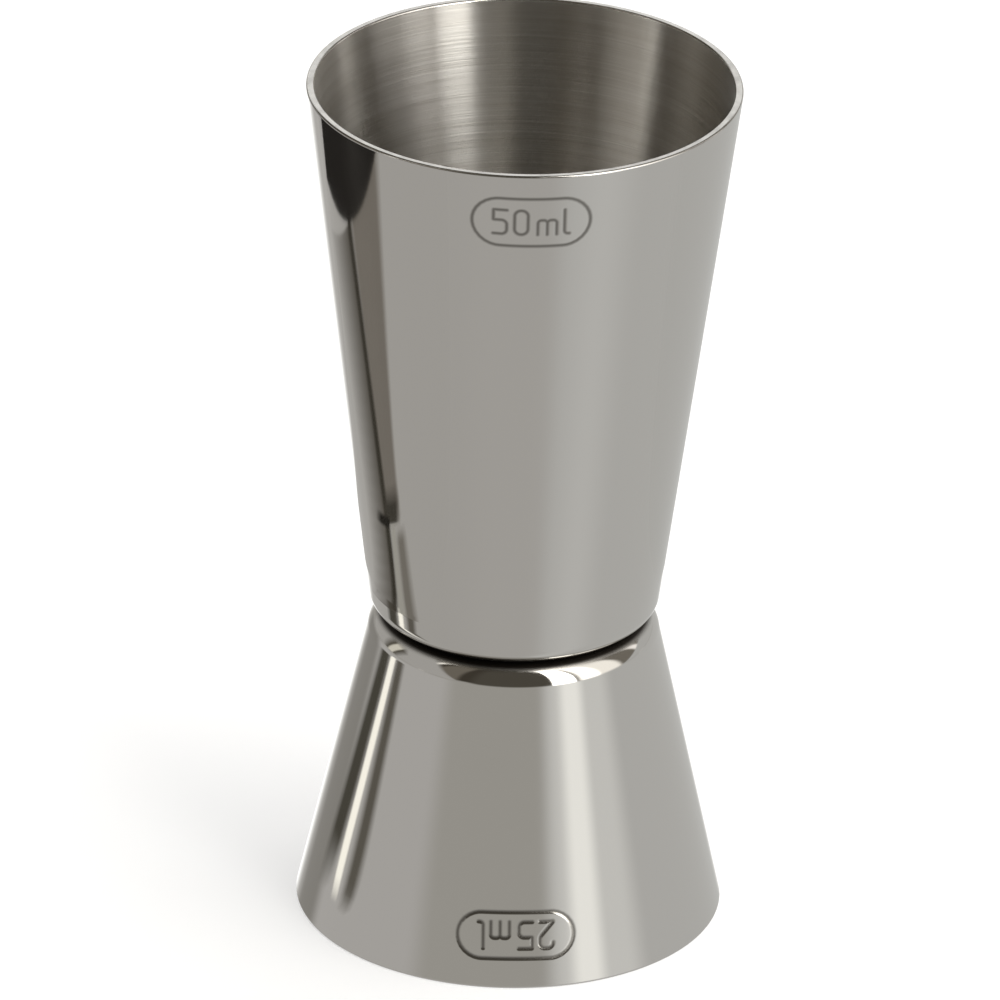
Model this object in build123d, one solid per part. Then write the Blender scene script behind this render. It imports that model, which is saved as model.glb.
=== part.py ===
"""Double-ended bar jigger: two drawn stainless steel cups, spot welded base to base.

Millimetres, +Z up. The origin is the centre of the small cup's rim, on which the jigger stands.
The small cup is upside down, the large cup stands upright on its base, and the capacity marks
pressed into both walls face -Y.
"""
from build123d import *
import os
from math import hypot

# Cups. A base diameter is that of the wall's outer face carried on to the underside of the
# floor; the rounded base corner lies inside it.
LARGE_MOUTH_D = 42.6
LARGE_BASE_D = 28.32
LARGE_HEIGHT = 56.2
LARGE_CORNER_R = 2.0
SMALL_MOUTH_D = 42.3
SMALL_BASE_D = 27.84
SMALL_HEIGHT = 31.9
SMALL_CORNER_R = 2.8
SHEET = 0.8
RIM_EDGE_R = 0.2

# Capacity marks: a round-ended outline about a number and its unit.
LARGE_MARK_TEXT = "50 ml"
LARGE_MARK_HEIGHT = 5.7
LARGE_MARK_FROM_RIM = 5.2
SMALL_MARK_TEXT = "25 ml"
SMALL_MARK_HEIGHT = 5.1
SMALL_MARK_FROM_RIM = 5.5
MARK_WIDTH = 11.8
MARK_LINE = 0.38
MARK_DEPTH = 0.12
DIGIT_WIDTH = 1.3
DIGIT_HEIGHT = 2.7
LETTER_GAP = 0.75
SPACE_WIDTH = 0.2
SHARP_BEND_R = 0.05

# Spot welds between the two floors, and the dimples that the electrodes leave inside the cups.
WELD_COUNT = 3
WELD_CIRCLE_R = 6.0
NUGGET_D = 3.2
NUGGET_SINK = 0.4
DIMPLE_D = 4.4
DIMPLE_DEPTH = 0.1

JOINT_Z = SMALL_HEIGHT
CUTTER_REACH = 2.0


def wall_slope(mouth_d, base_d, height):
    """How far a cup's wall moves out for each millimetre of height."""
    return (mouth_d - base_d) / 2 / height


def blank_cup(mouth_d, base_d, height, corner_r):
    """A plain cup, mouth up, with the underside of its floor on z = 0."""
    slope = wall_slope(mouth_d, base_d, height)
    wall_run = SHEET * hypot(1, slope)
    inner_base_r = base_d / 2 + SHEET * slope - wall_run
    with BuildPart() as made:
        with BuildSketch(Plane.XZ) as section:
            Polygon(
                (0, 0),
                (base_d / 2, 0),
                (mouth_d / 2, height),
                (mouth_d / 2 - wall_run, height),
                (inner_base_r, SHEET),
                (0, SHEET),
                align=None,
            )
            fillet(section.vertices().group_by(Axis.Y)[-1], RIM_EDGE_R)
            fillet(section.vertices().group_by(Axis.Y)[0].sort_by(Axis.X)[-1], corner_r)
            floor_edge = section.vertices().filter_by(lambda point: abs(point.Y - SHEET) < 1e-6)
            fillet(floor_edge.sort_by(Axis.X)[-1], corner_r - SHEET)
        revolve(axis=Axis.Z)
    return made.part


def zero_lines():
    """The digit 0: a closed loop with round ends."""
    wide = DIGIT_WIDTH
    tall = DIGIT_HEIGHT
    return [FilletPolyline((0, 0), (wide, 0), (wide, tall), (0, tall), radius=0.48 * wide, close=True)]


def two_lines():
    """The digit 2: a hook over a slanted stroke and a flat foot."""
    wide = DIGIT_WIDTH
    tall = DIGIT_HEIGHT
    corners = (0, 0.8 * tall), (0, tall), (wide, tall), (wide, 0.58 * tall), (0, 0), (wide, 0)
    return [FilletPolyline(*corners, radius=[0.4 * wide, 0.4 * wide, 0.6 * wide, SHARP_BEND_R])]


def five_lines():
    """The digit 5: a bar and a short stem over an open bowl."""
    wide = DIGIT_WIDTH
    tall = DIGIT_HEIGHT
    waist = 0.58 * tall
    corners = (wide, tall), (0, tall), (0, waist), (wide, waist), (wide, 0), (0, 0)
    bowl = 0.4 * wide
    return [FilletPolyline(*corners, radius=[SHARP_BEND_R, SHARP_BEND_R, bowl, bowl])]


def m_lines():
    """The letter m: two arches that share the middle stem."""
    wide = 0.7 * DIGIT_WIDTH
    tall = 0.6 * DIGIT_HEIGHT
    arch = FilletPolyline((0, 0), (0, tall), (wide, tall), (wide, 0), radius=0.4 * wide)
    return [arch, Pos(wide, 0) * arch]


def l_lines():
    """The letter l: a stem with a short turned foot."""
    foot = 0.35 * DIGIT_WIDTH
    return [FilletPolyline((0, DIGIT_HEIGHT), (0, 0), (foot, 0), radius=0.8 * foot)]


GLYPHS = {"0": zero_lines, "2": two_lines, "5": five_lines, "m": m_lines, "l": l_lines}


def mark_sketch(text, height):
    """A capacity mark laid flat, centred on the origin."""
    outline = SlotOverall(MARK_WIDTH, height)
    outline -= SlotOverall(MARK_WIDTH - 2 * MARK_LINE, height - 2 * MARK_LINE)
    strokes = []
    pen_x = 0
    for letter in text:
        if letter == " ":
            pen_x += SPACE_WIDTH
            continue
        lines = GLYPHS[letter]()
        strokes += [Pos(pen_x, 0) * line for line in lines]
        pen_x = max(stroke.bounding_box().max.X for stroke in strokes) + LETTER_GAP
    centring = Pos(-(pen_x - LETTER_GAP) / 2, -DIGIT_HEIGHT / 2)
    for stroke in strokes:
        outline += trace(centring * stroke, MARK_LINE)
    return outline


def mark_cutter(text, mark_height, from_rim, mouth_d, base_d, height):
    """The shallow solid that presses a mark into the -Y side of a cup's wall."""
    slope = wall_slope(mouth_d, base_d, height)
    skin_run = MARK_DEPTH * hypot(1, slope)
    drop = from_rim / hypot(1, slope)
    middle = Vector(0, drop * slope - mouth_d / 2, height - drop)
    wall_plane = Plane(origin=middle, x_dir=(1, 0, 0), z_dir=(0, -1, -slope))
    stamp = extrude(wall_plane * mark_sketch(text, mark_height), CUTTER_REACH, both=True)
    skin_section = Plane.XZ * Polygon(
        (base_d / 2 - skin_run, 0),
        (base_d / 2 + CUTTER_REACH, 0),
        (mouth_d / 2 + CUTTER_REACH, height),
        (mouth_d / 2 - skin_run, height),
        align=None,
    )
    return stamp & revolve(skin_section, Axis.Z)


def lens(diameter, half_thickness):
    """A double-domed disc about the z = 0 plane."""
    with BuildPart() as made:
        with BuildSketch(Plane.XZ):
            with BuildLine():
                TangentArc((0, half_thickness), (diameter / 2, 0), tangent=(1, 0))
                TangentArc((0, -half_thickness), (diameter / 2, 0), tangent=(1, 0))
                Line((0, half_thickness), (0, -half_thickness))
            make_face()
        revolve(axis=Axis.Z)
    return made.part


def weld_places(z):
    """The centres of the spot welds, carried to a height."""
    return [Pos(0, 0, z) * place for place in PolarLocations(WELD_CIRCLE_R, WELD_COUNT, 90)]


def large_cup():
    """The large cup, upright on the joint plane."""
    sizes = LARGE_MOUTH_D, LARGE_BASE_D, LARGE_HEIGHT
    cup = blank_cup(*sizes, LARGE_CORNER_R)
    cup -= mark_cutter(LARGE_MARK_TEXT, LARGE_MARK_HEIGHT, LARGE_MARK_FROM_RIM, *sizes)
    return Pos(0, 0, JOINT_Z) * cup


def small_cup():
    """The small cup, turned over about Y so that its floor is at the joint plane."""
    sizes = SMALL_MOUTH_D, SMALL_BASE_D, SMALL_HEIGHT
    cup = blank_cup(*sizes, SMALL_CORNER_R)
    cup -= mark_cutter(SMALL_MARK_TEXT, SMALL_MARK_HEIGHT, SMALL_MARK_FROM_RIM, *sizes)
    return Pos(0, 0, JOINT_Z) * Rot(0, 180, 0) * cup


def weld_features(cup, floor_top_z):
    """A cup with its pockets for the weld nuggets and its electrode dimples."""
    for place in weld_places(JOINT_Z):
        cup -= place * lens(NUGGET_D, NUGGET_SINK)
    for place in weld_places(floor_top_z):
        cup -= place * lens(DIMPLE_D, DIMPLE_DEPTH)
    return cup


def assembly():
    """Every node's name and solid."""
    nodes = {
        "upper_cup": weld_features(large_cup(), JOINT_Z + SHEET),
        "lower_cup": weld_features(small_cup(), JOINT_Z - SHEET),
    }
    for number, place in enumerate(weld_places(JOINT_Z), start=1):
        nodes[f"spot_weld_{number}"] = place * lens(NUGGET_D, NUGGET_SINK)
    return nodes


os.makedirs("parts", exist_ok=True)
for name, solid in assembly().items():
    export_step(solid, f"parts/{name}.step")
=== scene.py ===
"""Looks of the bar jigger: two mirror-polished steel cups with brushed insides, on a pale floor."""

from math import atan, cos, degrees, hypot, pi, radians, sin

import bpy
import numpy as np
from mathutils import Matrix, Vector


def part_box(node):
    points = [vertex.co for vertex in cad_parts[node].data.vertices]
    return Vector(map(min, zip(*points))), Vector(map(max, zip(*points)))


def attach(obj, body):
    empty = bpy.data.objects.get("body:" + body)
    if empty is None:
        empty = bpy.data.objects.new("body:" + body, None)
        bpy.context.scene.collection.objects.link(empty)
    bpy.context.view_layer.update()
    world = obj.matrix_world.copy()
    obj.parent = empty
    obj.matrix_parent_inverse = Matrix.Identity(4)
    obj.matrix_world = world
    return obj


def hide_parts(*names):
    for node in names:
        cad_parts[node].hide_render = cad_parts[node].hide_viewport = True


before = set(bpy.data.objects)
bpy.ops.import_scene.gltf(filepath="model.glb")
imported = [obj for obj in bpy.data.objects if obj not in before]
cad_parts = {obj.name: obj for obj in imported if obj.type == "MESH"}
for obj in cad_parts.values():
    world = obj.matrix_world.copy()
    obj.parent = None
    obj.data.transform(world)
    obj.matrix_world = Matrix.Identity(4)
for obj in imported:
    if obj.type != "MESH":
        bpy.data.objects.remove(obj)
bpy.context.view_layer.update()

MM = 0.001

# The cups' sections, as the CAD parts have them. Heights and places come from the frame.
LARGE_MOUTH_D = 42.6 * MM
LARGE_BASE_D = 28.32 * MM
LARGE_CORNER_R = 2.0 * MM
SMALL_MOUTH_D = 42.3 * MM
SMALL_BASE_D = 27.84 * MM
SMALL_CORNER_R = 2.8 * MM
SHEET = 0.8 * MM
RIM_EDGE_R = 0.2 * MM

# Capacity marks pressed into the walls.
LARGE_MARK_HEIGHT = 5.7 * MM
LARGE_MARK_FROM_RIM = 5.2 * MM
SMALL_MARK_HEIGHT = 5.1 * MM
SMALL_MARK_FROM_RIM = 5.5 * MM
MARK_WIDTH = 11.8 * MM
MARK_LINE = 0.38 * MM
MARK_DEPTH = 0.032 * MM
MARK_SPREAD = 1.6
DIGIT_WIDTH = 1.3 * MM
DIGIT_HEIGHT = 2.7 * MM
LETTER_GAP = 0.75 * MM
SPACE_WIDTH = 0.2 * MM
SHARP_BEND_R = 0.05 * MM

# Electrode dimples of the spot welds.
WELD_ANGLES = [radians(90 + 120 * k) for k in range(3)]
WELD_CIRCLE_R = 6.0 * MM
DIMPLE_R = 2.2 * MM
DIMPLE_DEPTH = 0.1 * MM

# Mesh density.
FINE_STEP = 0.07 * MM
COARSE_STEP = 1.3 * MM
FLOOR_STEP = 0.35 * MM
COARSE_TURN = radians(2.0)
MARK_MARGIN = 0.35 * MM

# Camera, about the point on the floor under the jigger.
CAMERA_AZIMUTH = radians(-2.5)
CAMERA_DISTANCE = 1.3589
CAMERA_HEIGHT = 0.7054
CAMERA_PITCH = radians(25.98)
CAMERA_YAW = radians(-0.067)
CAMERA_ROLL = radians(1.18)
CAMERA_LENS = 552.7
CAMERA_SENSOR = 36.0


# ---------------------------------------------------------------- lettering

def rounded_line(points, radii):
    """A polyline through points with each inner corner rounded by an arc, as an array of points."""
    line = [np.array(points[0], float)]
    for before, corner, after, radius in zip(points, points[1:], points[2:], radii):
        corner = np.array(corner, float)
        back = np.array(before, float) - corner
        onward = np.array(after, float) - corner
        back /= np.linalg.norm(back)
        onward /= np.linalg.norm(onward)
        half = np.arccos(np.clip(back @ onward, -1, 1)) / 2
        reach = radius / np.tan(half)
        middle = corner + (back + onward) / np.linalg.norm(back + onward) * radius / np.sin(half)
        start = corner + back * reach - middle
        finish = corner + onward * reach - middle
        for share in np.linspace(0, 1, 9):
            spoke = start * (1 - share) + finish * share
            line.append(middle + spoke / np.linalg.norm(spoke) * radius)
    line.append(np.array(points[-1], float))
    return np.array(line)


def zero_lines():
    """The digit 0: a closed loop with round ends."""
    wide, tall = DIGIT_WIDTH, DIGIT_HEIGHT
    corners = (wide / 2, 0), (wide, 0), (wide, tall), (0, tall), (0, 0), (wide / 2, 0)
    return [rounded_line(corners, [0.48 * wide] * 4)]


def two_lines():
    """The digit 2: a hook over a slanted stroke and a flat foot."""
    wide, tall = DIGIT_WIDTH, DIGIT_HEIGHT
    corners = (0, 0.8 * tall), (0, tall), (wide, tall), (wide, 0.58 * tall), (0, 0), (wide, 0)
    return [rounded_line(corners, [0.4 * wide, 0.4 * wide, 0.6 * wide, SHARP_BEND_R])]


def five_lines():
    """The digit 5: a bar and a short stem over an open bowl."""
    wide, tall = DIGIT_WIDTH, DIGIT_HEIGHT
    waist = 0.58 * tall
    bowl = 0.4 * wide
    corners = (wide, tall), (0, tall), (0, waist), (wide, waist), (wide, 0), (0, 0)
    return [rounded_line(corners, [SHARP_BEND_R, SHARP_BEND_R, bowl, bowl])]


def m_lines():
    """The letter m: two arches that share the middle stem."""
    wide, tall = 0.7 * DIGIT_WIDTH, 0.6 * DIGIT_HEIGHT
    arch = rounded_line([(0, 0), (0, tall), (wide, tall), (wide, 0)], [0.4 * wide] * 2)
    return [arch, arch + (wide, 0)]


def l_lines():
    """The letter l: a stem with a short turned foot."""
    foot = 0.35 * DIGIT_WIDTH
    return [rounded_line([(0, DIGIT_HEIGHT), (0, 0), (foot, 0)], [0.8 * foot])]


GLYPHS = {"0": zero_lines, "2": two_lines, "5": five_lines, "m": m_lines, "l": l_lines}


def outline_line(height):
    """The mark's outline: a closed loop with round ends."""
    half_w = (MARK_WIDTH - MARK_LINE) / 2
    half_h = (height - MARK_LINE) / 2
    corners = [(half_w, -half_h), (half_w, half_h), (-half_w, half_h), (-half_w, -half_h)]
    return rounded_line([(0, -half_h)] + corners + [(0, -half_h)], [0.999 * half_h] * 4)


def mark_lines(text, height):
    """The centre lines of a capacity mark laid flat about the origin: its outline and its letters."""
    letters = []
    pen_x = 0
    for letter in text:
        if letter == " ":
            pen_x += SPACE_WIDTH
            continue
        letters += [line + (pen_x, 0) for line in GLYPHS[letter]()]
        pen_x = max(line[:, 0].max() for line in letters) + LETTER_GAP
    centring = (-(pen_x - LETTER_GAP) / 2, -DIGIT_HEIGHT / 2)
    return [outline_line(height)] + [line + centring for line in letters]


def distance_to_lines(points, lines):
    """The distance from each point to the nearest of the lines."""
    nearest = np.full(len(points), np.inf)
    for line in lines:
        for start, finish in zip(line, line[1:]):
            along = finish - start
            length_squared = max(along @ along, 1e-18)
            share = np.clip((points - start) @ along / length_squared, 0, 1)
            gap = points - start - share[:, None] * along
            nearest = np.minimum(nearest, np.hypot(gap[:, 0], gap[:, 1]))
    return nearest


# ---------------------------------------------------------------- cup shells

class Section:
    """A cup's half section, mouth up on z = 0: places and outward normals as (radius, level), and zones."""

    def __init__(self):
        self.places = []
        self.normals = []
        self.zones = []

    def add(self, place, normal, zone):
        self.places.append(place)
        self.normals.append(normal)
        self.zones.append(zone)

    def straight(self, start, finish, normal, shares, zone):
        """Rows between two places, at the given shares of the way."""
        start, finish = np.array(start), np.array(finish)
        for share in shares:
            self.add(start + (finish - start) * share, np.array(normal), zone)

    def arc(self, middle, radius, from_angle, to_angle, steps, zone, hollow=False):
        """Rows on an arc. A hollow arc has its normals towards its middle."""
        for angle in np.linspace(from_angle, to_angle, steps + 1):
            spoke = np.array((cos(angle), sin(angle)))
            self.add(np.array(middle) + radius * spoke, -spoke if hollow else spoke, zone)


def even_shares(length, step):
    """Shares of a length in even steps, its ends left out."""
    count = max(2, round(length / step))
    return np.arange(1, count) / count


def shares_with_fine_part(length, low, high):
    """Shares of a length, its ends left out, in fine steps from low to high and coarse steps elsewhere."""
    before = np.linspace(0, low, max(2, int(low / COARSE_STEP)) + 1)[1:-1]
    fine = np.linspace(low, high, int((high - low) / FINE_STEP) + 1)
    after = np.linspace(high, length, max(2, int((length - high) / COARSE_STEP)) + 1)[1:-1]
    return np.concatenate([before, fine, after]) / length


def cup_section(mouth_r, base_r, height, corner_r, mark_from_rim, mark_height):
    """A cup's section, from the middle of its underside round the rim to the middle of its floor."""
    slope = (mouth_r - base_r) / height
    lean = atan(slope)
    stretch = hypot(1, slope)
    out = np.array((cos(lean), -sin(lean)))

    def wall_place(level, inset):
        """The place at a level that lies inset from the wall's outer face."""
        return np.array((base_r + slope * level - inset * stretch, level))

    corner = wall_place(corner_r, corner_r)
    outer_rim = wall_place(height - RIM_EDGE_R, RIM_EDGE_R)
    inner_rim = wall_place(height - RIM_EDGE_R, SHEET - RIM_EDGE_R)
    section = Section()

    # Underside, base corner and outer wall.
    section.add(np.array((0.0, 0.0)), np.array((0.0, -1.0)), "outside")
    section.straight((0, 0), (corner[0], 0), (0, -1), even_shares(corner[0], COARSE_STEP), "outside")
    section.arc(corner, corner_r, -pi / 2, -lean, 14, "outside")
    wall_foot = corner + out * corner_r
    wall_top = outer_rim + out * RIM_EDGE_R
    mark_middle = (height - mark_from_rim / stretch - wall_foot[1]) * stretch
    mark_reach = mark_height / 2 + MARK_MARGIN
    length = np.linalg.norm(wall_top - wall_foot)
    shares = shares_with_fine_part(length, mark_middle - mark_reach, mark_middle + mark_reach)
    section.straight(wall_foot, wall_top, out, shares, "outside")

    # Rim: two rounded edges with a narrow flat between them.
    section.arc(outer_rim, RIM_EDGE_R, -lean, pi / 2, 6, "rim")
    section.arc(inner_rim, RIM_EDGE_R, pi / 2, pi - lean, 6, "rim")

    # Inner wall, inner corner and floor.
    inner_top = inner_rim - out * RIM_EDGE_R
    inner_foot = corner + out * (corner_r - SHEET)
    shares = even_shares(np.linalg.norm(inner_foot - inner_top), COARSE_STEP)
    section.straight(inner_top, inner_foot, -out, shares, "inside")
    section.arc(corner, corner_r - SHEET, -lean, -pi / 2, 10, "inside", hollow=True)
    shares = even_shares(corner[0], FLOOR_STEP)
    section.straight((corner[0], SHEET), (0, SHEET), (0, 1), shares, "inside")
    section.add(np.array((0.0, SHEET)), np.array((0.0, 1.0)), "inside")
    return section


def turn_angles(mark_foot_r):
    """Angles round the axis, in fine steps across the mark at -Y and coarse steps elsewhere."""
    half_mark = np.arcsin((MARK_WIDTH / 2 + MARK_MARGIN) / mark_foot_r)
    fine = np.linspace(-half_mark, half_mark, int(2 * half_mark * mark_foot_r / FINE_STEP))
    rest = 2 * pi - 2 * half_mark
    coarse = half_mark + np.linspace(0, rest, int(rest / COARSE_TURN))[1:-1]
    return np.concatenate([fine, coarse]) - pi / 2


def spun(pairs, spin):
    """(radius, level) pairs turned round the axis: rows of points, one for each direction in spin."""
    flat = pairs[:, 0][:, None, None] * spin[None]
    level = np.broadcast_to(pairs[:, 1][:, None, None], flat.shape[:2] + (1,))
    return np.concatenate([flat, level], 2)


def mark_depths(points, lines, slope, mouth_r, height, from_rim):
    """How deep the pressed mark is at each point of a cup's outer wall."""
    drop = from_rim / hypot(1, slope)
    middle = np.array((0, drop * slope - mouth_r, height - drop))
    along_wall = np.array((0, -slope, 1)) / hypot(1, slope)
    flat = np.stack([points[:, 0], (points - middle) @ along_wall], 1)
    near = (np.abs(flat) < MARK_WIDTH / 2 + MARK_MARGIN).all(1) & (points[:, 1] < 0)
    depths = np.zeros(len(points))
    share = np.clip(distance_to_lines(flat[near], lines) / (MARK_SPREAD * MARK_LINE / 2), 0, 1)
    depths[near] = MARK_DEPTH * (0.5 + 0.5 * np.cos(pi * share))
    return depths


def dimple_depths(points):
    """How deep the electrode dimples are at each point of a cup's floor."""
    depths = np.zeros(len(points))
    for angle in WELD_ANGLES:
        middle = WELD_CIRCLE_R * np.array((cos(angle), sin(angle)))
        share = np.clip(np.linalg.norm(points[:, :2] - middle, axis=1) / DIMPLE_R, 0, 1)
        depths += DIMPLE_DEPTH * (1 - share**2) ** 2
    return depths


def dented_normals(normals, depths, pairs, normal_pairs, angles, spin):
    """Normals tilted by how fast the depth of a dent changes round and along the cup."""
    travel = np.concatenate([[0], np.cumsum(np.linalg.norm(np.diff(pairs, axis=0), axis=1))])
    along = np.gradient(depths, travel, axis=0)
    closed = np.concatenate([depths[:, -1:], depths, depths[:, :1]], 1)
    turn = np.concatenate([[angles[-1] - 2 * pi], angles, [angles[0] + 2 * pi]])
    around = np.gradient(closed, turn, axis=1)[:, 1:-1] / pairs[:, :1]
    side = np.stack([-spin[:, 1], spin[:, 0], np.zeros(len(spin))], 1)[None]
    forward = spun(np.stack([-normal_pairs[:, 1], normal_pairs[:, 0]], 1), spin)
    tilted = normals + around[..., None] * side + along[..., None] * forward
    return tilted / np.linalg.norm(tilted, axis=2, keepdims=True)


def shell_faces(rows, count):
    """Faces of rows of count points between two end points, each with the row that it starts from."""
    faces = []
    starts = []
    last = 1 + (rows - 1) * count
    end = 1 + rows * count
    for k in range(count):
        beside = (k + 1) % count
        faces.append((0, 1 + beside, 1 + k))
        starts.append(0)
        for row in range(rows - 1):
            base = 1 + row * count
            faces.append((base + k, base + beside, base + count + beside, base + count + k))
            starts.append(row)
        faces.append((last + k, last + beside, end))
        starts.append(rows - 1)
    return faces, starts


ZONE_ORDER = {"outside": 0, "rim": 1, "inside": 2}


def strip_finish(zones, row):
    """Which finish the strip of faces above a row has. Only strips between two rim rows are rim."""
    onward = zones[min(row + 1, len(zones) - 1)]
    return ZONE_ORDER[onward if zones[row] == "rim" else zones[row]]


def cup_shell(name, node, mouth_d, base_d, corner_r, text, from_rim, mark_height, turned_over, materials):
    """One cup as a closed shell with its pressed mark and its electrode dimples."""
    low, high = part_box(node)
    height = high.z - low.z
    mouth_r = mouth_d / 2
    slope = (mouth_r - base_d / 2) / height
    section = cup_section(mouth_r, base_d / 2, height, corner_r, from_rim, mark_height)
    angles = turn_angles(mouth_r - slope * (from_rim + mark_height + MARK_MARGIN))
    spin = np.stack([np.cos(angles), np.sin(angles)], 1)
    pairs = np.array(section.places)[1:-1]
    normal_pairs = np.array(section.normals)[1:-1]
    zones = np.array(section.zones)[1:-1]

    places = spun(pairs, spin)
    normals = spun(normal_pairs, spin)
    depths = np.zeros(places.shape[:2])
    wall = (zones == "outside") & (pairs[:, 1] > height / 2)
    lines = mark_lines(text, mark_height)
    wall_depths = mark_depths(places[wall].reshape(-1, 3), lines, slope, mouth_r, height, from_rim)
    depths[wall] = wall_depths.reshape(-1, len(angles))
    pressed = depths / MARK_DEPTH
    floor = (zones == "inside") & (pairs[:, 1] < SHEET * 1.001)
    depths[floor] = dimple_depths(places[floor].reshape(-1, 3)).reshape(-1, len(angles))
    tilted = dented_normals(normals, depths, pairs, normal_pairs, angles, spin)
    places = places - depths[..., None] * normals

    vertices = np.concatenate([[(0, 0, 0)], places.reshape(-1, 3), [(0, 0, SHEET)]])
    vertex_normals = np.concatenate([[(0, 0, -1)], tilted.reshape(-1, 3), [(0, 0, 1)]])
    if turned_over:
        vertices = vertices * (-1, 1, -1) + (0, 0, high.z)
        vertex_normals = vertex_normals * (-1, 1, -1)
    else:
        vertices = vertices + (0, 0, low.z)

    faces, starts = shell_faces(len(pairs), len(angles))
    mesh = bpy.data.meshes.new(name)
    mesh.from_pydata(vertices.tolist(), [], faces)
    mesh.polygons.foreach_set("use_smooth", [True] * len(faces))
    mesh.polygons.foreach_set("material_index", [strip_finish(zones, row) for row in starts])
    groove = mesh.attributes.new("pressed", "FLOAT", "POINT")
    groove.data.foreach_set("value", np.concatenate([[0], pressed.ravel(), [0]]).astype(np.float32))
    mesh.update()
    mesh.normals_split_custom_set_from_vertices(vertex_normals.tolist())
    for material in materials:
        mesh.materials.append(material)
    piece = bpy.data.objects.new(name, mesh)
    bpy.context.scene.collection.objects.link(piece)
    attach(piece, "root")
    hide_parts(node)
    return piece


# ---------------------------------------------------------------- materials

STEEL = (0.63, 0.615, 0.59, 1)
# The grooves' darker colour is painted shade; their added roughness is the duller pressed metal.
GROOVE_PAINTED_SHADE = (0.21, 0.2, 0.185, 1)
BRUSHED_DARK = (0.62, 0.6, 0.57, 1)
BRUSHED_LIGHT = (0.7, 0.685, 0.66, 1)
# Painted shade: the crevice between the cups is painted nearly black.
CREVICE_PAINTED_SHADE = (0.035, 0.03, 0.025, 1)
JOINT_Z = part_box("lower_cup")[1].z
CREVICE_R = 13.5 * MM


class Nodes:
    """A short way to build a node tree."""

    def __init__(self, tree):
        self.tree = tree

    def new(self, kind, inputs=None, **settings):
        """A node with its settings, and its input sockets set or linked."""
        node = self.tree.nodes.new("ShaderNode" + kind)
        for key, value in settings.items():
            setattr(node, key, value)
        for key, value in (inputs or {}).items():
            if isinstance(value, bpy.types.NodeSocket):
                self.tree.links.new(value, node.inputs[key])
            else:
                node.inputs[key].default_value = value
        return node

    def math(self, operation, *values):
        """The result of a Math node."""
        return self.new("Math", dict(enumerate(values)), operation=operation).outputs[0]

    def ranged(self, value, from_low, from_high, to_low, to_high, smooth=False):
        """A value carried from one range to another."""
        kind = "SMOOTHSTEP" if smooth else "LINEAR"
        inputs = {0: value, 1: from_low, 2: from_high, 3: to_low, 4: to_high}
        return self.new("MapRange", inputs, interpolation_type=kind).outputs[0]

    def mixed(self, share, first, second):
        """One colour or another, by a share."""
        return self.new("Mix", {0: share, 6: first, 7: second}, data_type="RGBA").outputs[2]

    def finish(self, shader, output):
        """The shader sent to the material's output."""
        self.tree.links.new(shader.outputs[0], output.inputs[0])

    def metal(self, tone, roughness, normal, output):
        """A metal of some tone and roughness, sent to the material's output."""
        inputs = {"Base Color": tone, "Metallic": 1.0, "Roughness": roughness, "Normal": normal}
        shader = self.new("BsdfPrincipled", inputs)
        self.finish(shader, output)
        return shader

    def noise(self, vector, scale, detail=2.0, roughness=0.5):
        """The value of a noise texture."""
        inputs = {"Vector": vector, "Scale": scale, "Detail": detail, "Roughness": roughness}
        return self.new("TexNoise", inputs).outputs["Fac"]


def new_material(name):
    """An empty node material, its nodes, and its output."""
    material = bpy.data.materials.new(name)
    material.use_nodes = True
    material.node_tree.nodes.clear()
    nodes = Nodes(material.node_tree)
    return material, nodes, nodes.new("OutputMaterial")


def cup_coordinates(nodes):
    """The place on a cup in metres, its height, and its distance from the axis."""
    place = nodes.new("TexCoord").outputs["Object"]
    parts = nodes.new("SeparateXYZ", {0: place}).outputs
    across = nodes.math("MULTIPLY", parts[0], parts[0])
    deep = nodes.math("MULTIPLY", parts[1], parts[1])
    return place, parts[2], nodes.math("SQRT", nodes.math("ADD", across, deep))


def turned_lines(nodes, place, run, round_scale, run_scale, detail):
    """Noise drawn out into long lines that run round the axis."""
    parts = nodes.new("SeparateXYZ", {0: place}).outputs
    across = nodes.math("MULTIPLY", parts[0], round_scale)
    deep = nodes.math("MULTIPLY", parts[1], round_scale)
    drawn_out = nodes.new("CombineXYZ", {0: across, 1: deep, 2: nodes.math("MULTIPLY", run, run_scale)})
    return nodes.noise(drawn_out.outputs[0], 1.0, detail, 0.65)


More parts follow.
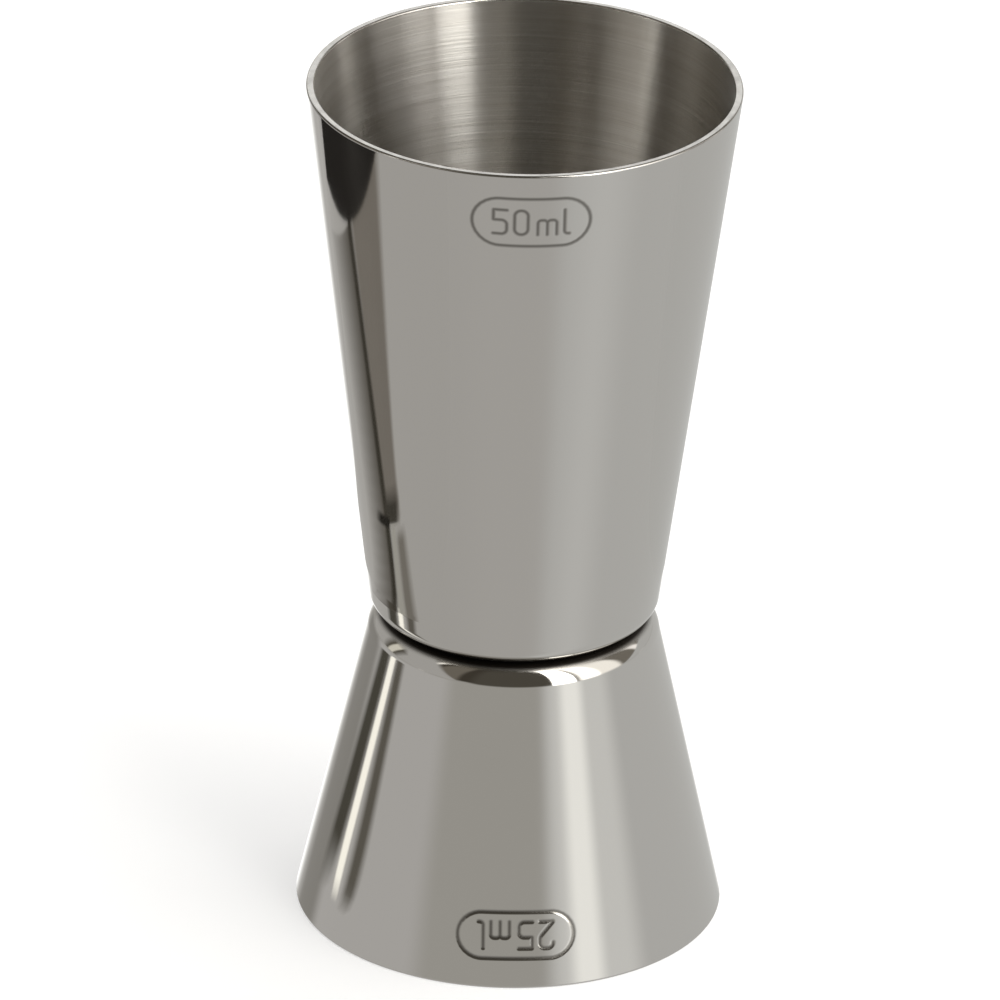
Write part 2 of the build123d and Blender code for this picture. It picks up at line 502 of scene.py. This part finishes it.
def polished_steel(name):
    """Buffed stainless steel: nearly a mirror, with faint wipe marks, hairline scratches and a soft ripple.

    The pressed grooves are duller, with painted shade; the crevice between the cups has painted shade too.
    """
    material, nodes, output = new_material(name)
    place, height, radius = cup_coordinates(nodes)
    pressed = nodes.new("Attribute", attribute_name="pressed").outputs["Fac"]
    haze = nodes.noise(place, 90.0, 3.0, 0.6)
    hairs = turned_lines(nodes, place, height, 90.0, 2600.0, 4.0)
    inward = nodes.ranged(radius, CREVICE_R - 0.3 * MM, CREVICE_R + 0.3 * MM, 1.0, 0.0, True)
    from_joint = nodes.math("ABSOLUTE", nodes.math("SUBTRACT", height, JOINT_Z))
    crevice = nodes.math("MULTIPLY", inward, nodes.ranged(from_joint, 1.4 * MM, 1.6 * MM, 1.0, 0.0))
    hazy = nodes.ranged(haze, 0.3, 0.75, 0.045, 0.085)
    scratched = nodes.math("ADD", hazy, nodes.ranged(hairs, 0.62, 0.8, 0.0, 0.05))
    dulled = nodes.math("ADD", scratched, nodes.math("MULTIPLY", pressed, 0.2))
    roughness = nodes.math("ADD", dulled, nodes.math("MULTIPLY", crevice, 0.5))
    waves = nodes.noise(place, 60.0, 1.0)
    ripple = nodes.new("Bump", {"Strength": 0.05, "Distance": 0.0006, "Height": waves}).outputs[0]
    scratch_inputs = {"Strength": 0.03, "Distance": 0.00002, "Height": hairs, "Normal": ripple}
    scratches = nodes.new("Bump", scratch_inputs).outputs[0]
    # Painted shade in the pressed grooves.
    grooves_shaded = nodes.mixed(pressed, STEEL, GROOVE_PAINTED_SHADE)
    # Painted shade, nearly black, in the crevice between the cups.
    tone = nodes.mixed(crevice, grooves_shaded, CREVICE_PAINTED_SHADE)
    nodes.metal(tone, roughness, scratches, output)
    return material


def rim_steel(name):
    """The cut edge of the sheet, ground and then polished."""
    material, nodes, output = new_material(name)
    place, _, _ = cup_coordinates(nodes)
    nicks = nodes.noise(place, 700.0, 2.0)
    bump = nodes.new("Bump", {"Strength": 0.08, "Distance": 0.00003, "Height": nicks}).outputs[0]
    nodes.metal(STEEL, nodes.ranged(nicks, 0.3, 0.7, 0.12, 0.24), bump, output)
    return material


def brushed_steel(name):
    """The inside of a cup: satin lines that run round the bore, some deeper than others."""
    material, nodes, output = new_material(name)
    place, height, radius = cup_coordinates(nodes)
    run = nodes.math("SUBTRACT", height, radius)
    fine = turned_lines(nodes, place, run, 60.0, 5200.0, 2.0)
    broad = turned_lines(nodes, place, run, 45.0, 1300.0, 3.0)
    tone = nodes.mixed(nodes.ranged(broad, 0.35, 0.65, 0.0, 1.0), BRUSHED_DARK, BRUSHED_LIGHT)
    roughness = nodes.ranged(broad, 0.3, 0.7, 0.28, 0.32)
    bump = nodes.new("Bump", {"Strength": 0.35, "Distance": 0.00006, "Height": fine}).outputs[0]
    shader = nodes.metal(tone, roughness, bump, output)
    shader.inputs["Anisotropic"].default_value = 1.0
    shader.inputs["Anisotropic Rotation"].default_value = 0.25
    tangent = nodes.new("Tangent", direction_type="RADIAL", axis="Z").outputs[0]
    nodes.tree.links.new(tangent, shader.inputs["Tangent"])
    return material


def weld_steel(name):
    """The dull, grainy metal of a weld nugget."""
    material, nodes, output = new_material(name)
    place = nodes.new("TexCoord").outputs["Object"]
    grain = nodes.noise(place, 2500.0, 4.0, 0.6)
    tone = nodes.mixed(grain, (0.36, 0.35, 0.33, 1), (0.5, 0.49, 0.47, 1))
    bump = nodes.new("Bump", {"Strength": 0.3, "Distance": 0.00005, "Height": grain}).outputs[0]
    nodes.metal(tone, nodes.ranged(grain, 0.3, 0.7, 0.45, 0.65), bump, output)
    return material


# ---------------------------------------------------------------- studio

# Levels of the mirrored cards, in millimetres: on the floor, and on two shelves beside the waist.
FLOOR_LEVEL = 0.1
SHELF_LEVEL = 34.8
SHELF_REACH = (15.4, 140)
CURVE_SHARES = np.linspace(0, 1, 25)


def glossy_only(piece):
    """Only reflections see this piece."""
    piece.visible_camera = False
    piece.visible_diffuse = False
    piece.visible_shadow = False
    piece.visible_transmission = False
    piece.visible_volume_scatter = False


def glow_material(name, colour):
    """A glow that fades out where the attribute "cover" falls to nothing."""
    material, nodes, output = new_material(name)
    cover = nodes.new("Attribute", attribute_name="cover").outputs["Fac"]
    glow = nodes.new("Emission", {"Color": (*colour, 1)})
    clear = nodes.new("BsdfTransparent")
    mix = nodes.new("MixShader", {0: cover, 1: clear.outputs[0], 2: glow.outputs[0]})
    nodes.finish(mix, output)
    return material


def mirrored_piece(name, vertices, faces, covers, colour):
    """A flat piece that only reflections see."""
    mesh = bpy.data.meshes.new(name)
    mesh.from_pydata(vertices, [], faces)
    mesh.attributes.new("cover", "FLOAT", "POINT").data.foreach_set("value", covers)
    mesh.materials.append(glow_material(name, colour))
    piece = bpy.data.objects.new(name, mesh)
    piece.rotation_euler.z = CAMERA_AZIMUTH
    bpy.context.scene.collection.objects.link(piece)
    glossy_only(piece)


def mirrored_card(name, corners, level, colour):
    """A card with sharp edges, its corners in millimetres."""
    vertices = [(x * MM, y * MM, level * MM) for x, y in corners]
    mirrored_piece(name, vertices, [tuple(range(len(corners)))], [1.0] * len(corners), colour)


def bent(start, bend, finish):
    """Values or places along a smooth curve from start to finish, drawn towards bend halfway."""
    start, bend, finish = np.array(start, float), np.array(bend, float), np.array(finish, float)
    return [(1 - t) ** 2 * start + 2 * t * (1 - t) * bend + t**2 * finish for t in CURVE_SHARES]


def mirrored_ribbon(name, places, widths, level, colour, core=0.4, fade=0.07):
    """A band on a bent path in millimetres, three places and three widths long.

    It fades in over a share of its path, and fades out at its sides beyond its core.
    """
    path = np.array(bent(*places))
    along = np.gradient(path, axis=0)
    along /= np.linalg.norm(along, axis=1, keepdims=True)
    across = np.stack([-along[:, 1], along[:, 0]], 1) * np.array(bent(*widths))[:, None] / 2
    shares = (-1, -core, core, 1)
    points = np.stack([path + share * across for share in shares], 1).reshape(-1, 2)
    vertices = [(x * MM, y * MM, level * MM) for x, y in points]
    faces = [(k, k + 1, k + 5, k + 4) for k in range(len(points) - 4) if k % 4 != 3]
    covers = [side * min(1.0, t / fade) for t in CURVE_SHARES for side in (0.0, 1.0, 1.0, 0.0)]
    mirrored_piece(name, vertices, faces, covers, colour)


def mirrored_blend(name, full_side, clear_side, level, colour):
    """A band between two bent paths in millimetres that fades out from the first to the second."""
    places = bent(*full_side) + bent(*clear_side)
    vertices = [(x * MM, y * MM, level * MM) for x, y in places]
    count = len(CURVE_SHARES)
    faces = [(k, k + 1, count + k + 1, count + k) for k in range(count - 1)]
    mirrored_piece(name, vertices, faces, [1.0] * count + [0.0] * count, colour)


def mirrored_sector(name, azimuths, radii, level, colour):
    """A flat part of a ring about the axis that fades at its ends. Azimuths are in degrees from -Y to +X."""
    steps = 18
    turns = np.radians(np.linspace(*azimuths, steps + 1))
    vertices = [(r * sin(turn) * MM, -r * cos(turn) * MM, level * MM) for r in radii for turn in turns]
    faces = [(k, k + 1, k + steps + 2, k + steps + 1) for k in range(steps)]
    covers = [0.0] + [1.0] * (steps - 1) + [0.0]
    mirrored_piece(name, vertices, faces, covers * 2, colour)


def make_mirrored_shelves():
    """Two grey shelves. The large cup mirrors their tops, and the small cup's shoulder their undersides."""
    mirrored_sector("mirrored_left_shelf", (-137, -38), SHELF_REACH, SHELF_LEVEL, (0.51, 0.50, 0.48))
    mirrored_sector("mirrored_right_shelf", (84, 175), SHELF_REACH, SHELF_LEVEL, (0.59, 0.59, 0.575))


def make_mirrored_shade():
    """What the large cup's left side mirrors: a dark shape, and under it a grey shade beside a dark line."""
    edge = bent((-92, -20), (-77, 12), (-66, 60))
    dark_shape = [(-150, -30), *edge, (-78, 68), (-150, 110)]
    mirrored_card("mirrored_dark_shape", dark_shape, SHELF_LEVEL + 0.6, (0.022, 0.02, 0.018))

    line = (-9, -9.5), (-40, -2), (-76, 25)
    soft_side = (-9, -8), (-35, 13), (-57, 57)
    mirrored_blend("mirrored_gloom", line, soft_side, SHELF_LEVEL + 0.1, (0.1, 0.09, 0.075))
    shade = (-25, -6.5), (-50, -1), (-92, 6)
    mirrored_ribbon("mirrored_shade", shade, (8.5, 10, 55), SHELF_LEVEL + 0.2, (0.23, 0.21, 0.185), 0.7)
    mirrored_ribbon("mirrored_line", line, (0.8, 4.5, 8.5), SHELF_LEVEL + 0.3, (0.05, 0.045, 0.035), 0.3)

    # The shade darkens towards its end, which has a notch in the dark line.
    shade_end = (-33, -5.5), (-29, -6), (-26.3, -6.2)
    end_tone = (0.06, 0.055, 0.045)
    mirrored_ribbon("mirrored_shade_end", shade_end, (8.5, 8, 6.5), SHELF_LEVEL + 0.35, end_tone, 0.5, 0.5)
    notch = (-26.6, 1.5), (-26.4, -1.5), (-26.2, -5)
    notch_tone = (0.02, 0.018, 0.015)
    mirrored_ribbon("mirrored_notch", notch, (2.4, 2.4, 2.4), SHELF_LEVEL + 0.4, notch_tone, 0.5, 0.4)

    # Below the notch, a thin light line beside a soft dark one.
    soft_line = (-26, -9), (-18, -10), (-9, -10.6)
    soft_widths = (4.8, 4.2, 1.4)
    soft_tone = (0.23, 0.215, 0.19)
    mirrored_ribbon("mirrored_soft_line", soft_line, soft_widths, SHELF_LEVEL + 0.32, soft_tone, 0.25, 0.15)
    thin_light = (-26.3, -6.4), (-18, -8.1), (-9, -10.1)
    thin_tone = (0.45, 0.44, 0.4)
    mirrored_ribbon("mirrored_thin_light", thin_light, (2.7, 2, 0.8), SHELF_LEVEL + 0.4, thin_tone, 0.3)


def make_mirrored_light():
    """Painted shadow and light that only the small cup's left side and shoulder mirror."""
    # Painted shadow: two dark bands on the floor.
    behind = (-31, 0), (-72, 29), (-165, 55)
    behind_tone = (0.085, 0.08, 0.065)
    mirrored_ribbon("mirrored_dark_behind", behind, (5, 27, 46), FLOOR_LEVEL, behind_tone, 0.4, 0.2)
    before = (-31, -9.3), (-100, -1.5), (-230, 8)
    before_tone = (0.14, 0.13, 0.11)
    mirrored_ribbon("mirrored_dark_before", before, (4, 28, 46), FLOOR_LEVEL + 0.1, before_tone, 0.3, 0.09)
    # Painted light: a glowing band between the two painted shadow bands.
    light = (-32, -5.5), (-92, 23), (-230, 34)
    mirrored_ribbon("mirrored_light", light, (2.5, 13.5, 25), FLOOR_LEVEL + 0.2, (1.45, 1.42, 1.3), 0.6)

    # A painted highlight between dark bands, mirrored by the small cup's shoulder.
    high = (-15, -7), (-58, 7), (-110, 24)
    mirrored_ribbon("mirrored_high_dark", high, (6, 21, 40), SHELF_LEVEL - 0.2, (0.1, 0.09, 0.07), fade=0.035)
    light_tone = (0.85, 0.82, 0.72)
    mirrored_ribbon("mirrored_high_light", high, (2, 8, 16), SHELF_LEVEL - 0.3, light_tone, 0.6, 0.035)


def make_backdrop():
    """A pale floor that curves up into a wall all round, which reflections don't see."""
    floor_r, bend_r, wall_top = 2.2, 0.8, 3.0
    turns = 96
    outline = [(floor_r + bend_r * sin(a), bend_r * (1 - cos(a))) for a in np.linspace(0, pi / 2, 17)]
    outline.append((floor_r + bend_r, wall_top))
    spokes = [(cos(2 * pi * k / turns), sin(2 * pi * k / turns)) for k in range(turns)]
    vertices = [(0, 0, 0)] + [(radius * x, radius * y, level) for radius, level in outline for x, y in spokes]
    faces = [(0, 1 + k, 1 + (k + 1) % turns) for k in range(turns)]
    for row in range(len(outline) - 1):
        base = 1 + row * turns
        for k in range(turns):
            beside = (k + 1) % turns
            faces.append((base + k, base + turns + k, base + turns + beside, base + beside))
    mesh = bpy.data.meshes.new("backdrop")
    mesh.from_pydata(vertices, [], faces)
    mesh.polygons.foreach_set("use_smooth", [True] * len(faces))
    material, nodes, output = new_material("pale_floor")
    paper = nodes.new("BsdfDiffuse", {"Color": (0.5, 0.5, 0.5, 1)})
    glow = nodes.new("Emission", {"Color": (0.5, 0.5, 0.5, 1)})
    both = nodes.new("AddShader", {0: paper.outputs[0], 1: glow.outputs[0]})
    nodes.finish(both, output)
    mesh.materials.append(material)
    backdrop = bpy.data.objects.new("backdrop", mesh)
    bpy.context.scene.collection.objects.link(backdrop)
    backdrop.visible_glossy = False
    backdrop.visible_diffuse = False
    backdrop.visible_shadow = False


# What the steel mirrors, as panels painted over each other: middle, half size and softness of the
# azimuth (in degrees from -Y, where the camera is, towards +X), the same of the elevation, and colour.
ROOM_BELOW = (0.46, 0.45, 0.42)
ROOM_FLOOR = (0.53, 0.52, 0.50)
ROOM_ABOVE = (0.065, 0.056, 0.044)
WALL = (39, 36, 4)
ROOM_PANELS = {
    "left table": ((-100, 52, 8), (-20, 20, 4), (0.565, 0.555, 0.54)),
    "left shade": ((-138, 14, 6), (-12, 12, 5), (0.32, 0.31, 0.29)),
    "left floor": ((-100, 62, 24), (-60, 30, 6), (0.51, 0.50, 0.48)),
    "right table": ((102, 78, 9), (-21, 24, 3), (0.61, 0.61, 0.595)),
    "right floor": ((100, 70, 25), (-60, 33, 6), (0.60, 0.60, 0.585)),
    "front floor": ((49, 14, 14), (-60, 33, 6), (0.67, 0.67, 0.655)),
    "pale table edge": ((50, 24, 8), (-8, 12, 6), (0.81, 0.81, 0.79)),
    "bright table edge": ((43.8, 8, 5), (-8, 10, 5), (1.2, 1.2, 1.16)),
    "bright back": ((-176, 14, 8), (-17, 18, 4), (1.3, 1.3, 1.28)),
    "front wall": ((0, 30, 6), WALL, (0.095, 0.086, 0.07)),
    "window": ((40, 9.4, 0.8), WALL, (4.7, 4.6, 4.35)),
    "window bar": ((53, 2.6, 1), WALL, (0.1, 0.09, 0.08)),
    "right wall": ((72, 20, 3), WALL, (1.35, 1.3, 1.21)),
    "curtain": ((62, 8, 2.5), WALL, (2.4, 2.32, 2.2)),
    "right back wall": ((118, 26, 5), WALL, (0.22, 0.2, 0.17)),
    "right slit": ((116, 3.5, 2), WALL, (1.3, 1.25, 1.2)),
    "left wall": ((-53, 11, 3), WALL, (0.2, 0.18, 0.15)),
    "left slit": ((-73, 2.5, 1), WALL, (1.5, 1.45, 1.35)),
    "left back wall": ((-96, 14, 5), WALL, (0.2, 0.18, 0.155)),
    "back wall": ((180, 32, 8), (22, 8, 4), (1.1, 1.1, 1.08)),
}


def make_world():
    """The room as the polished steel mirrors it: a dim front, tall windows, and a pale table all round."""
    world = bpy.data.worlds.new("studio")
    bpy.context.scene.world = world
    world.use_nodes = True
    world.node_tree.nodes.clear()
    nodes = Nodes(world.node_tree)
    output = nodes.new("OutputWorld")
    parts = nodes.new("SeparateXYZ", {0: nodes.new("TexCoord").outputs["Generated"]}).outputs
    backward = nodes.math("MULTIPLY", parts[1], -1.0)
    azimuth = nodes.math("DEGREES", nodes.math("ARCTAN2", parts[0], backward))
    azimuth = nodes.math("SUBTRACT", azimuth, degrees(CAMERA_AZIMUTH))
    elevation = nodes.math("DEGREES", nodes.math("ARCSINE", parts[2]))

    rising = nodes.ranged(elevation, -25.0, -5.0, 0.0, 1.0, True)
    colour = nodes.mixed(rising, (*ROOM_FLOOR, 1), (*ROOM_BELOW, 1))
    colour = nodes.mixed(nodes.ranged(elevation, 2.0, 9.0, 0.0, 1.0, True), colour, (*ROOM_ABOVE, 1))
    for (azimuth_middle, azimuth_half, azimuth_soft), (middle, half, soft), tone in ROOM_PANELS.values():
        turn = nodes.math("WRAP", nodes.math("SUBTRACT", azimuth, azimuth_middle), 180.0, -180.0)
        aside = nodes.math("ABSOLUTE", turn)
        above = nodes.math("ABSOLUTE", nodes.math("SUBTRACT", elevation, middle))
        across = nodes.ranged(aside, azimuth_half - azimuth_soft, azimuth_half + azimuth_soft, 1.0, 0.0, True)
        upright = nodes.ranged(above, half - soft, half + soft, 1.0, 0.0, True)
        colour = nodes.mixed(nodes.math("MULTIPLY", across, upright), colour, (*tone, 1))
    background = nodes.new("Background", {"Color": colour})
    nodes.finish(background, output)


def make_softbox():
    """The overhead light. It lights the floor; reflections don't see it."""
    light = bpy.data.lights.new("softbox", "AREA")
    light.shape = "DISK"
    light.size = 1.6
    light.energy = 28.0
    lamp = bpy.data.objects.new("softbox", light)
    lamp.location = (0.3, 0.2, 1.7)
    lamp.rotation_euler = (Vector(lamp.location)).to_track_quat("Z", "Y").to_euler()
    lamp.visible_glossy = False
    bpy.context.scene.collection.objects.link(lamp)


def make_camera():
    """A long lens, a little above the jigger, with the slight roll of a hand-held picture."""
    heading = Vector((sin(CAMERA_YAW), cos(CAMERA_YAW), 0))
    forward = heading * cos(CAMERA_PITCH) - Vector((0, 0, sin(CAMERA_PITCH)))
    level_right = forward.cross(Vector((0, 0, 1))).normalized()
    level_up = level_right.cross(forward)
    right = level_right * cos(CAMERA_ROLL) + level_up * sin(CAMERA_ROLL)
    up = level_up * cos(CAMERA_ROLL) - level_right * sin(CAMERA_ROLL)
    facing = Matrix((right, up, -forward)).transposed().to_4x4()
    place = Matrix.Translation((0, -CAMERA_DISTANCE, CAMERA_HEIGHT))
    camera = bpy.data.objects.new("camera", bpy.data.cameras.new("camera"))
    camera.data.lens = CAMERA_LENS
    camera.data.sensor_width = CAMERA_SENSOR
    camera.data.clip_end = 20.0
    camera.matrix_world = Matrix.Rotation(CAMERA_AZIMUTH, 4, "Z") @ place @ facing
    bpy.context.scene.collection.objects.link(camera)
    bpy.context.scene.camera = camera


# ---------------------------------------------------------------- the model

finishes = [polished_steel("polished_steel"), rim_steel("rim_steel"), brushed_steel("brushed_steel")]
large = cup_shell("large_cup", "upper_cup", LARGE_MOUTH_D, LARGE_BASE_D, LARGE_CORNER_R, "50 ml",
                  LARGE_MARK_FROM_RIM, LARGE_MARK_HEIGHT, False, finishes)
small = cup_shell("small_cup", "lower_cup", SMALL_MOUTH_D, SMALL_BASE_D, SMALL_CORNER_R, "25 ml",
                  SMALL_MARK_FROM_RIM, SMALL_MARK_HEIGHT, True, finishes)
nugget = weld_steel("weld_steel")
for node_name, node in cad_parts.items():
    if node_name.startswith("spot_weld"):
        node.data.materials.clear()
        node.data.materials.append(nugget)

make_backdrop()
make_mirrored_shelves()
make_mirrored_shade()
make_mirrored_light()
make_world()
make_softbox()
make_camera()
bpy.context.scene.view_settings.view_transform = "Standard"
